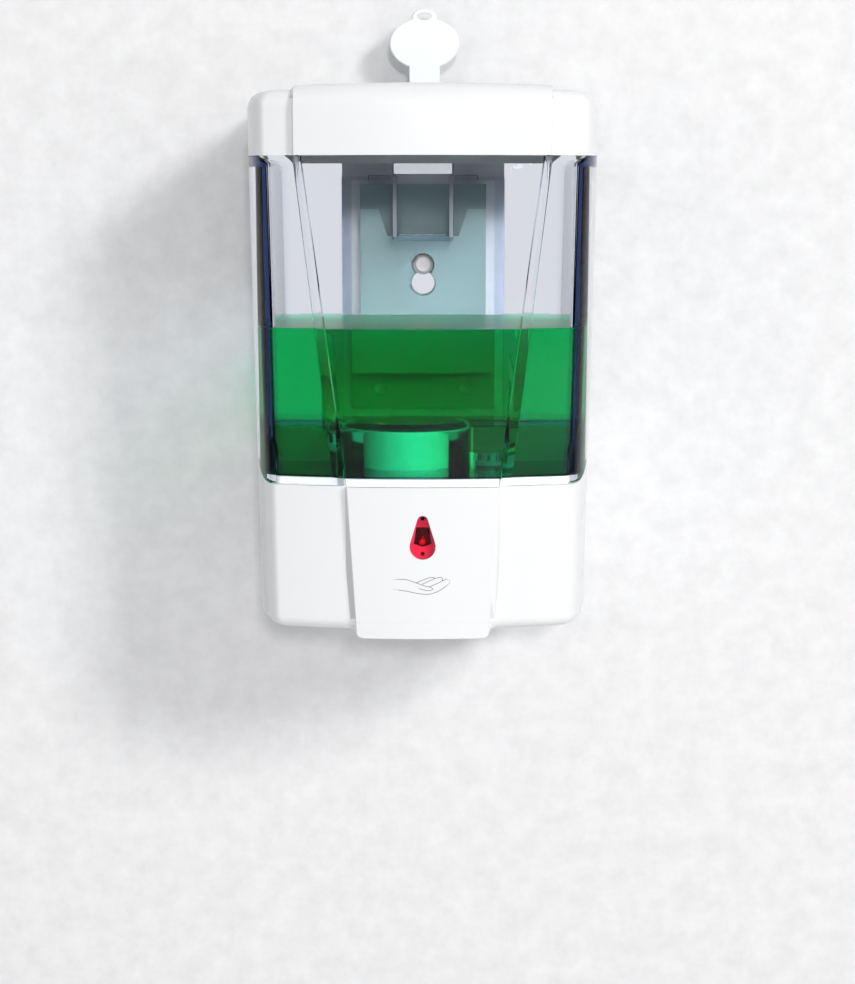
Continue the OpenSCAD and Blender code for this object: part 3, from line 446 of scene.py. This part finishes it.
combine(well, block((-WELL_HALF - 1, WELL_Y - 1, 51.4), (WELL_HALF + 1, -17.5, 53)))
outlet = drum(OUTLET_X, OUTLET_Y, SEAM_Z - 4, -57, OUTLET_R)
combine(tank, under_ledge, under_hump, channel, well, outlet)
smooth(tank, 20)


def clear(name, tint, strength, roughness, ior, wave=None, passed=0.94):
    """Clear plastic or liquid, tinted through its depth; passed, the share its surfaces let through to
    shadows, lightens its shadow.
    """
    material, tree = start_material(name)
    shader = add(tree, "BsdfPrincipled", {
        "Base Color": (1, 1, 1, 1), "Roughness": roughness, "IOR": ior, "Transmission Weight": 1.0,
        "Specular Tint": (0.2, 0.2, 0.2, 1),
    })
    if wave:
        place = add(tree, "TexCoord").outputs["Object"]
        tree.links.new(relief(tree, place, *wave)[0], shader.inputs["Normal"])
    seen = add(tree, "LightPath").outputs["Is Shadow Ray"]
    through = add(tree, "BsdfTransparent", {"Color": (passed, passed, passed, 1)})
    mix = add(tree, "MixShader", {"Fac": seen, 1: shader.outputs["BSDF"], 2: through.outputs["BSDF"]})
    depth = add(tree, "VolumeAbsorption", {"Color": tint, "Density": strength})
    add(tree, "OutputMaterial", {"Surface": mix.outputs["Shader"], "Volume": depth.outputs["Volume"]})
    return material


clear_san = clear("clear_lilac_san", (0.333, 0.44, 0.63, 1), 60, 0.0, 1.5, (9, 0.01, 1))
# The left side lets less light pass, which darkens the shadow on the wall beside it
tree = clear_san.node_tree
passed = add(tree, "MapRange", {
    "Value": along(tree, "X"), "From Min": -56 * MM, "From Max": -54 * MM, "To Min": 0.7, "To Max": 0.93,
})
tree.links.new(passed.outputs["Result"], tree.nodes["Transparent BSDF"].inputs["Color"])
hand_over(tank, "tank_clear", clear_san, "dispenser", "clear_tank", "tank")

# ---- Soap ----
# Clear green liquid soap, with a slightly rough top. It overlaps the tank's inner skin by a quarter of a
# millimetre, so that no air shows between them. It is narrower than the CAD's soap, as the sides are thick.
SOAP_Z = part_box("liquid_soap")[1].z / MM
TOP_ROUGHNESS = 0.3
soap = tank_inside(0.25, SOAP_Z)
combine(soap, drum(OUTLET_X, OUTLET_Y, -60, -52.8, OUTLET_R + 3))
smooth(soap)
green_soap = clear("green_liquid_soap", (0.0, 0.9, 0.69, 1), 85, 0.0, 1.36, passed=0.71)
tree = green_soap.node_tree
on_top = compute(tree, "GREATER_THAN", along(tree, "Z"), (SOAP_Z - 0.2) * MM)
rough_top = compute(tree, "MULTIPLY", on_top, TOP_ROUGHNESS)
tree.links.new(rough_top, tree.nodes["Principled BSDF"].inputs["Roughness"])
hand_over(soap, "soap", green_soap, "dispenser", "green_soap", "liquid_soap")

# ---- Housing ----
# Two glossy white ABS shells, joined in a plane across the middle. The front one carries on the tank's panel,
# has a thin lip in the groove of the tank's foot, and ends below in the tongue that hides the nozzle.
FOOT_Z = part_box("rear_housing")[0].z / MM
TONGUE_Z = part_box("front_cover")[0].z / MM
FOOT_HALF = 62.6
SHELL = 2.3
SPLIT_Y = -58
TONGUE_HALF = 25.6
NOZZLE_X, NOZZLE_Y = -10, -68.4


def shell_half(z):
    """Half the housing's width at a height."""
    return FOOT_HALF + (SEAM_HALF - FOOT_HALF) * (z - FOOT_Z) / (SEAM_Z - FOOT_Z)


def shell_block(inset, radius, back, low=FOOT_Z, high=SIDE_TOP_Z, steps=7):
    """The housing's outline from its rounded foot up to the top of its sides, moved in by inset."""
    levels = []
    for k in range(steps + 1):
        angle = math.pi / 2 * k / steps
        z = low + radius * (1 - math.cos(angle))
        away = inset + radius * (1 - math.sin(angle))
        levels.append((z, shell_half(z) - away, FRONT - away))
    levels.append((high, shell_half(high) - inset, FRONT - inset))
    closer = inset / 3
    panel = (FOOT_Z, 26.6 - closer, 24.4 - closer), (SEAM_Z, 31 - closer, 27.8 - closer)
    return raise_panel(plan_block(levels, back), *panel, reach=13)


white_abs = surface("white_glossy_abs", "#f1f2f3", 0.2, 1.4, 0.004, 0.015, 40, IOR=1.52)
cover = shell_block(0, 4.5, 1)
combine(cover, shell_block(SHELL, 3, 1 + SHELL, FOOT_Z + SHELL, -50))
above_seam = block((-FAR, -130, SEAM_Z), (FAR, -60, -40))
combine(above_seam, wing_block(FAR + 5, SEAM_Z - 5))
combine(cover, above_seam)
combine(cover, block((-FAR, -130, -130), (FAR, SPLIT_Y - 0.15, -30)), how="INTERSECT")
tongue = block(
    (-TONGUE_HALF, -110, TONGUE_Z), (TONGUE_HALF, -61, FOOT_Z + 3.4), 4,
    lambda p: p.z < TONGUE_Z + 0.1 and abs(p.x) > TONGUE_HALF - 0.6, 8,
)
tongue_plan = plan_block([(z, FOOT_HALF, FRONT) for z in (TONGUE_Z - 1, FOOT_Z + 4)], 0)
raise_panel(tongue_plan, (TONGUE_Z - 1, 26.4, 24.2), (FOOT_Z + 4, 26.9, 24.7))
combine(tongue, tongue_plan, how="INTERSECT")
foot_lip = rim_ring(2.5, 5.2, SEAM_Z - 4, -59.6)
combine(cover, tongue, foot_lip, how="UNION")
combine(cover, drum(NOZZLE_X, NOZZLE_Y, -130, -110, 4.2))


def teardrop(front, back):
    """The sensor window's outline, drawn from front to back."""
    low_z, low_r, high_z, high_r = -84.4, 4.8, -74.8, 2
    share = high_r / low_r
    piece = drum(0, low_z, front, back, low_r, axis="Y", sides=128)
    edit(piece)
    lean = (low_r - high_r) / (high_z - low_z)

    def pulled(p):
        if p.z - low_z < low_r * lean:
            return (0, 0, 0)
        return (p.x * (share - 1), 0, high_z + (p.z - low_z) * share - p.z)

    draw_out(pulled)
    return done()


combine(cover, teardrop(-120, -100))
smooth(cover)
hand_over(cover, "front_cover_shell", white_abs, "dispenser", "housing_white", "front_cover")
dress(white_abs, "rear_housing", "battery_door")
dress(surface("frame_grey_abs", "#6b7278", 0.5, 0.8, 0.008, IOR=1.52), "tank_outlet")

# The hand sign is in grey ink on the cover: thin strokes along (x, z), laid on its crowned front, which they
# stand 0.026 mm in front of.
STROKE, FLATTEN = 0.26, 0.8
SIGN = (
    ((-11, -100.3), (-6, -101), (-1, -102), (3, -102), (6.5, -100.6), (9.3, -98.6), (10, -97.3), (9.2, -96.5),
     (7.6, -97), (5, -98.3), (2.4, -99.4)),
    ((-11, -96.8), (-6.4, -96.6), (-2.6, -97.8), (0.6, -99), (2.4, -99.4), (3.9, -100.2), (2, -100.8),
     (-1.4, -100)),
    ((-0.2, -98.4), (2.4, -97.2), (4.6, -96.2), (6.6, -95.8), (7.4, -96.4), (7.2, -97)),
    ((-2.2, -97.8), (0.6, -96.6), (2.8, -95.9), (4.2, -95.9), (4.6, -96.2)),
)


def between(path, steps=5):
    """The path with smooth points put in between its own, on a spline through them."""

    def spline(p, q, r, u, t):
        return (2 * q + (r - p) * t + (2 * p - 5 * q + 4 * r - u) * t**2 + (3 * q - p - 3 * r + u) * t**3) / 2

    ends = [path[0], *path, path[-1]]
    points = []
    for near in zip(ends, ends[1:], ends[2:], ends[3:]):
        points += [[spline(*values, k / steps) for values in zip(*near)] for k in range(steps)]
    return points + [list(path[-1])]


def stroke(path, width):
    """A thin bead along a path of (x, z)."""
    bpy.ops.mesh.primitive_plane_add(size=MM)
    edit(bpy.context.object)
    bpy.ops.mesh.merge(type="CENTER")
    bpy.ops.transform.translate(value=(path[0][0] * MM, 0, path[0][1] * MM))
    for (x0, z0), (x1, z1) in zip(path, path[1:]):
        step = ((x1 - x0) * MM, 0, (z1 - z0) * MM)
        bpy.ops.mesh.extrude_region_move(TRANSFORM_OT_translate={"value": step})
    bpy.ops.object.mode_set(mode="OBJECT")
    bpy.ops.object.convert(target="CURVE")
    bpy.context.object.data.bevel_depth = width / 2 * MM
    bpy.context.object.data.bevel_resolution = 1
    bpy.context.object.data.use_fill_caps = True
    bpy.ops.object.convert(target="MESH")
    edit(bpy.context.object)
    return done(0)


strokes = [stroke(between(path), STROKE) for path in SIGN]
bpy.ops.object.select_all(action="DESELECT")
for line in strokes:
    line.select_set(True)
bpy.context.view_layer.objects.active = strokes[0]
bpy.ops.object.join()
edit(strokes[0])
crown = CROWN / (shell_half(-98) - CORNER) ** 2
draw_out(lambda p: (0, -FRONT - RISE + crown * p.x**2 - p.y * FLATTEN, 0))
sign = done(0)
smooth(sign, 60)
grey_ink = surface("grey_ink", "#6d6d70", 0.6, 0.3, 0.001)
hand_over(sign, "hand_sign", grey_ink, "dispenser", "housing_white")

# ---- Sensor ----
# A red see-through polycarbonate window, clipped into the cover over a grey shroud. Behind it stand an
# infrared sender, its receiver and a red pilot lamp on a small board.
window_red = clear("red_polycarbonate", (0.985, 0.02, 0.3, 1), 560, 0.03, 1.5)
dress(window_red, "sensor_window")
dress(surface("shroud_grey_abs", "#c9cacd", 0.45, 0.6, 0.004, IOR=1.52), "sensor_shroud")
dress(surface("board_green_lacquer", "#1d6a3c", 0.3, 1.2, 0.004, 0.12, 5), "sensor_board", "circuit_board")
dress(surface("violet_epoxy", "#4a4470", 0.12, 0.8, 0.002, IOR=1.53), "ir_emitter")
dress(surface("black_epoxy", "#1d1d22", 0.15, 0.8, 0.002, IOR=1.53), "ir_receiver")
dress(surface("red_epoxy", "#c33340", 0.15, 0.8, 0.002, IOR=1.53), "status_led")

# ---- Circuit board and batteries ----
# A lacquered board carries a black chip, two blue capacitors, a cream plug socket and a yellow coil. Four
# wrapped AA cells stand in a black ABS box between nickel plated springs, under the tank's ABS frame.


def parted(name, axis, starts, roughness, size, depth, **inputs):
    """A solid whose colour changes along an axis; starts gives the first place, in mm, of each colour."""
    material = surface(name, starts[0][1], roughness, size, depth, **inputs)
    tree = material.node_tree
    low, high = starts[0][0], starts[-1][0] + 1
    share = add(tree, "MapRange", {"Value": along(tree, axis), "From Min": low * MM, "From Max": high * MM})
    ramp = add(tree, "ValToRGB", {"Fac": share.outputs["Result"]})
    ramp.color_ramp.interpolation = "CONSTANT"
    ramp.color_ramp.elements[0].color = linear(starts[0][1])
    ramp.color_ramp.elements.remove(ramp.color_ramp.elements[1])
    for start, code in starts[1:]:
        ramp.color_ramp.elements.new((start - low) / (high - low)).color = linear(code)
    shader = next(n for n in tree.nodes if n.type == "BSDF_PRINCIPLED")
    tree.links.new(ramp.outputs["Color"], shader.inputs["Base Color"])
    return material


BOARD_COLOURS = ((-86, "#3b5f8f"), (-70.8, "#d8b04a"), (-60, "#22242a"), (-41, "#e8e4d8"))
dress(parted("parts_on_board", "Y", BOARD_COLOURS, 0.4, 1, 0.01), "board_components")
FRAME_COLOURS = ((-60, "#6b7278"), (-30, "#f1f2f3"), (18, "#6b7278"))
dress(parted("frame_abs", "X", FRAME_COLOURS, 0.45, 0.8, 0.008), "chassis")
CELL_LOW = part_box("battery_1")[0].z / MM
CELL_COLOURS = ((CELL_LOW - 1, "#9da1a6"), (CELL_LOW + 1.3, "#2f7d4f"), (CELL_LOW + 36.6, "#c8a14a"),
                (CELL_LOW + 49.4, "#c4c7cb"))
dress(
    parted("cell_wrap", "Z", CELL_COLOURS, 0.3, 2, 0.004),
    "battery_1", "battery_2", "battery_3", "battery_4",
)
dress(surface("box_black_abs", "#33353a", 0.5, 0.5, 0.008, IOR=1.52), "battery_box", "power_switch")
dress(surface("switch_black_nylon", "#1f2023", 0.45, 0.4, 0.006, IOR=1.53), "switch_knob")
dress(surface("nickel_spring_steel", "#c6c8ca", 0.25, 0.5, 0.002, 0.06, 4, Metallic=1.0), "top_contacts",
      "door_contacts", "latch_spring")
dress(surface("lead_pvc", "#8d2029", 0.4, 0.6, 0.004), "battery_leads", "motor_leads")
dress(surface("black_rubber", "#26282b", 0.75, 0.5, 0.012), "outlet_seal", "battery_seal")

# ---- Motor, gears and pump ----
# A small can motor turns a brass pinion, an acetal idler and the rotor's gear. The rotor presses three nylon
# rollers round a silicone tube in a housing of grey glass-filled nylon.
dress(surface("drawn_steel_can", "#a9adb3", 0.3, 0.5, 0.003, 0.05, 6, (1, 1, 6), Metallic=1.0), "motor")
dress(surface("ground_steel", "#c2c4c7", 0.2, 0.3, 0.001, 0.04, 3, (1, 1, 0.2), Metallic=1.0), "motor_shaft",
      "idler_pin", "rotor_shaft", "roller_pins")
dress(surface("machined_brass", "#c9a24b", 0.25, 0.3, 0.002, 0.05, 3, (1, 1, 0.3), Metallic=1.0),
      "motor_pinion")
dress(surface("plate_grey_nylon", "#c4c7cc", 0.5, 0.5, 0.006, IOR=1.53), "gear_plate", "pump_body",
      "pump_cover")
dress(surface("gear_acetal", "#e9e2cf", 0.35, 0.5, 0.003, IOR=1.48), "idler_gear", "rotor_gear")
dress(surface("roller_nylon", "#f0efe8", 0.35, 0.4, 0.003, IOR=1.53), "pump_rotor", "pump_roller_1",
      "pump_roller_2", "pump_roller_3")
silicone = surface("milky_silicone", "#e6e5df", 0.4, 0.6, 0.004, IOR=1.41)
silicone.node_tree.nodes["Principled BSDF"].inputs["Transmission Weight"].default_value = 0.45
dress(silicone, "pump_tube", "drip_valve")
dress(white_abs, "outlet_nozzle")

# ---- Lid ----
# A white ABS cap of the same plan, with rounded top edges and the raised panel carried over its top. Two
# hooks hang inside its front, clear of the tank's rim, and slots in the neck leave them room to swing. A
# notch at its back lets the key in. The latch and the bar over the key's well are pale SAN, the bar with a
# painted glow; pale frosted strips at the well's edges are a painted highlight.
LID_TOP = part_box("lid")[1].z / MM
LID_BACK = -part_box("lid")[1].y / MM
SIDE_TOP = LID_TOP - 2.3
LID_RADIUS = 6
PANEL_HALF = 46.4
STRIP_EDGES = (47.6, PANEL_HALF, 38, 30, 22, 15, 7)


def lid_block(inset, low, top, radius, back, steps=7):
    """The lid's outline, moved in by inset, from its foot up round its top edges."""
    levels = [(low, LID_HALF - inset, FRONT - inset)]
    for k in range(steps + 1):
        angle = math.pi / 2 * k / steps
        away = inset + radius * (1 - math.cos(angle))
        levels.append((top - radius + radius * math.sin(angle), LID_HALF - away, FRONT - away))
    return plan_block(levels, back)


lid = lid_block(0, LID_Z, SIDE_TOP, LID_RADIUS, LID_BACK)
edit(lid)
for half in STRIP_EDGES:
    for side in (-1, 1):
        bpy.ops.mesh.select_all(action="SELECT")
        cut((side * half, 0, 0), (1, 0, 0))


def panel_lift(p):
    """How far the panel stands out at a place: forwards in front, upwards on top, with a slight crown."""
    if abs(p.x) > PANEL_HALF + 0.02:
        return (0, 0, 0)
    turn = min(max((p.z - SIDE_TOP + LID_RADIUS) / LID_RADIUS, 0), 1)
    rise_y = -RISE * math.sqrt(1 - turn**2) if p.y < -40 else 0
    crown = 0.7 * (p.x / PANEL_HALF) ** 2
    return (0, rise_y, (LID_TOP - SIDE_TOP - crown) * turn)


draw_out(panel_lift)
done()
combine(lid, lid_block(2.1, LID_Z - 1, LID_TOP - 4.4, 4, LID_BACK + 2.1))
inside_top = LID_TOP - 3.5
for side in (-1, 1):
    hook = block((side * HOOK_X - 1.4, -92.6, 49.2), (side * HOOK_X + 1.4, -88.5, inside_top))
    edit(hook)
    pick("VERT", lambda p: p.z < 50)
    bpy.ops.transform.resize(value=(0.25, 0.4, 1), center_override=(side * HOOK_X * MM, -90.5 * MM, 0))
    combine(lid, done(), how="UNION")
rear_tab = block((-8, -22.5, LID_Z - 0.2), (8, -20.5, inside_top))
combine(lid, rear_tab, how="UNION")
key_notch = block((-16, -17, 0), (16, 5, 120), 1.5, lambda p: p.y < -16.9 and abs(p.x) > 15.9)
over_bracket = block((-FAR, -9, 0), (FAR, 5, 66))
combine(lid, key_notch, over_bracket)
smooth(lid)
hand_over(lid, "lid_cap", white_abs, "lid", "housing_white", "lid")
dress(surface("latch_pale_san", "#f6f6fa", 0.3, 0.3, 0.006, IOR=1.5), "lid_latch")
# Pale frosted strips at the edges of the key's well, not in the CAD: a painted highlight that stands in for
# the bright lines of light in the well's clear walls
frosted = surface("frosted_san_painted_highlight", "#e9ebf2", 0.35, 0.3, 0.006, IOR=1.5)
frosted.node_tree.nodes["Principled BSDF"].inputs["Transmission Weight"].default_value = 0.5
for side, name in ((-1, "well_highlight_left"), (1, "well_highlight_right")):
    middle = side * (WELL_HALF + 1)
    cheek = block((middle - 0.8, -30.9, WELL_FLOOR - 0.5), (middle + 0.8, -29.6, 51), 0.3)
    smooth(cheek)
    hand_over(cheek, name, frosted, "dispenser", "latch_frosted")
bridge = block((-WELL_HALF - 1.3, -33.2, 51.8), (WELL_HALF + 1.3, -31.2, 56), 0.4)
smooth(bridge)
# The bar isn't in the CAD. It stands in for a pale block seen over the well, and its faint glow is painted
# light.
bridge_san = surface("bridge_san_painted_glow", "#f2f2f4", 0.5, 1.2, 0.2, 0.3, 2, **{"Emission Strength": 0.38})
hand_over(bridge, "well_bridge", bridge_san, "dispenser", "latch_frosted")

# ---- Key ----
# A flat white moulded key: an oval grip with a small ring on top, and a short stem that stands in the lid's
# notch, with its end in the top of the tank's well.
KEY_LOW, KEY_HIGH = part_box("key")
KEY_X = 0.6
GRIP_Z, GRIP_HALF_WIDTH, GRIP_HALF_HEIGHT = 103.5, 14, 10.2
RING_Z, RING_HALF_WIDTH, RING_HALF_HEIGHT = 113.6, 5, 3.6
HOLE_Z, HOLE_HALF_WIDTH, HOLE_HALF_HEIGHT = 114, 3, 1.45
STEM_HALF = 6.2
key_front, key_back = KEY_LOW.y / MM, KEY_HIGH.y / MM


def oval(z, half_width, half_height, past=0, bevel=0, sides=96):
    """An upright oval plate in the key's plane, standing out of it by past in front and behind."""
    piece = drum(KEY_X, z, key_front - past, key_back + past, half_height, bevel, sides, "Y")
    edit(piece)
    bpy.ops.transform.resize(value=(half_width / half_height, 1, 1), center_override=(KEY_X * MM, 0, 0))
    return done()


key = oval(GRIP_Z, GRIP_HALF_WIDTH, GRIP_HALF_HEIGHT, bevel=0.5)
ring = oval(RING_Z, RING_HALF_WIDTH, RING_HALF_HEIGHT, bevel=0.5, sides=64)
stem = block((KEY_X - STEM_HALF, key_front, KEY_LOW.z / MM), (KEY_X + STEM_HALF, key_back, 96), 0.5)
combine(key, stem, ring, how="UNION")
combine(key, oval(HOLE_Z, HOLE_HALF_WIDTH, HOLE_HALF_HEIGHT, past=3, sides=48))
smooth(key)
key_plastic = surface("key_white_plastic", "#eef1f7", 0.3, 0.9, 0.004, 0.02, 12, IOR=1.5)
hand_over(key, "key_flat", key_plastic, "key", "key_white", "key")

# ---- Stage, camera and lights ----
# A pale plaster wall behind, seen only from the room's side, and a plain pale floor. What is seen of the wall
# through the tank's sides and through the keyhole is evenly lit by its own light, without the shadow that
# lies there.
BESIDE_BRACKET = 33
KEYHOLE_Z, KEYHOLE_REACH = 12, 10
bpy.ops.mesh.primitive_plane_add(size=6)
wall = bpy.context.object
wall.name = "wall"
edit(wall)
bpy.ops.transform.rotate(value=math.pi / 2, orient_axis="X", center_override=(0, 0, 0))
done()
if wall.data.polygons[0].normal.y > 0:
    wall.data.flip_normals()
material, tree = start_material("painted_plaster")
place = add(tree, "TexCoord").outputs["Object"]
normal = relief(tree, place, 14, 0.4, 6)[0]
blotches = add(tree, "TexNoise", {"Vector": place, "Scale": 1 / (11 * MM), "Detail": 5, "Roughness": 0.65})
tone = add(tree, "MapRange", {
    "Value": blotches.outputs["Fac"], "From Min": 0.3, "From Max": 0.7, "To Min": 0.8, "To Max": 0.9,
}).outputs["Result"]
plain = add(tree, "CombineColor", {0: tone, 1: tone, 2: tone}).outputs["Color"]
shader = add(tree, "BsdfPrincipled", {"Base Color": plain, "Roughness": 0.85, "Normal": normal})
even = add(tree, "Emission", {"Color": (0.84, 0.84, 0.86, 1)})
rays = add(tree, "LightPath").outputs
beside = compute(tree, "GREATER_THAN", compute(tree, "ABSOLUTE", along(tree, "X")), BESIDE_BRACKET * MM)
away = add(tree, "VectorMath", {0: place, 1: (0, 0, KEYHOLE_Z * MM)}, operation="DISTANCE").outputs["Value"]
in_keyhole = compute(tree, "LESS_THAN", away, KEYHOLE_REACH * MM)
lit = compute(tree, "MULTIPLY", compute(tree, "MAXIMUM", beside, in_keyhole), rays["Is Transmission Ray"])
plaster = add(tree, "MixShader", {"Fac": lit, 1: shader.outputs["BSDF"], 2: even.outputs["Emission"]})
seen = compute(tree, "MAXIMUM", rays["Is Camera Ray"], rays["Is Glossy Ray"])
seen = compute(tree, "MAXIMUM", seen, rays["Is Transmission Ray"])
from_room = compute(tree, "SUBTRACT", 1.0, add(tree, "NewGeometry").outputs["Backfacing"])
share = compute(tree, "MULTIPLY", seen, from_room)
unseen = add(tree, "BsdfTransparent")
mix = add(tree, "MixShader", {"Fac": share, 1: unseen.outputs["BSDF"], 2: plaster.outputs["Shader"]})
add(tree, "OutputMaterial", {"Surface": mix.outputs["Shader"]})
wall.data.materials.append(material)

bpy.ops.mesh.primitive_plane_add(size=8, location=(0, 0, -360 * MM))
floor = bpy.context.object
floor.name = "floor"
floor.data.materials.append(surface("pale_floor", "#e2e2e3", 0.6, 8, 0.05))

camera = bpy.data.objects.new("camera", bpy.data.cameras.new("camera"))
bpy.context.scene.collection.objects.link(camera)
camera.location = (1.81 * MM, -806 * MM, 45.5 * MM)
camera.rotation_euler = (math.radians(90 - 8.88), 0, 0)
camera.data.lens = 70.68
camera.data.clip_start = 0.01
bpy.context.scene.camera = camera


def lamp(name, place, size, power):
    """A white square lamp, in metres and watts, that faces the origin."""
    light = bpy.data.lights.new(name, "AREA")
    light.size, light.energy = size, power
    made = bpy.data.objects.new(name, light)
    bpy.context.scene.collection.objects.link(made)
    made.location = place
    made.rotation_euler = (-Vector(place)).to_track_quat("-Z", "Y").to_euler()


lamp("key_light", (2.6, -3.0, 1.9), 0.9, 90)
lamp("front_lamp", (0.2, -2.8, 0.66), 0.2, 18)
world = bpy.data.worlds.new("pale_room")
bpy.context.scene.world = world
world.use_nodes = True
background = world.node_tree.nodes["Background"]
background.inputs["Color"].default_value = (0.9, 0.9, 0.92, 1)
background.inputs["Strength"].default_value = 0.49
bpy.context.scene.view_settings.view_transform = "Standard"
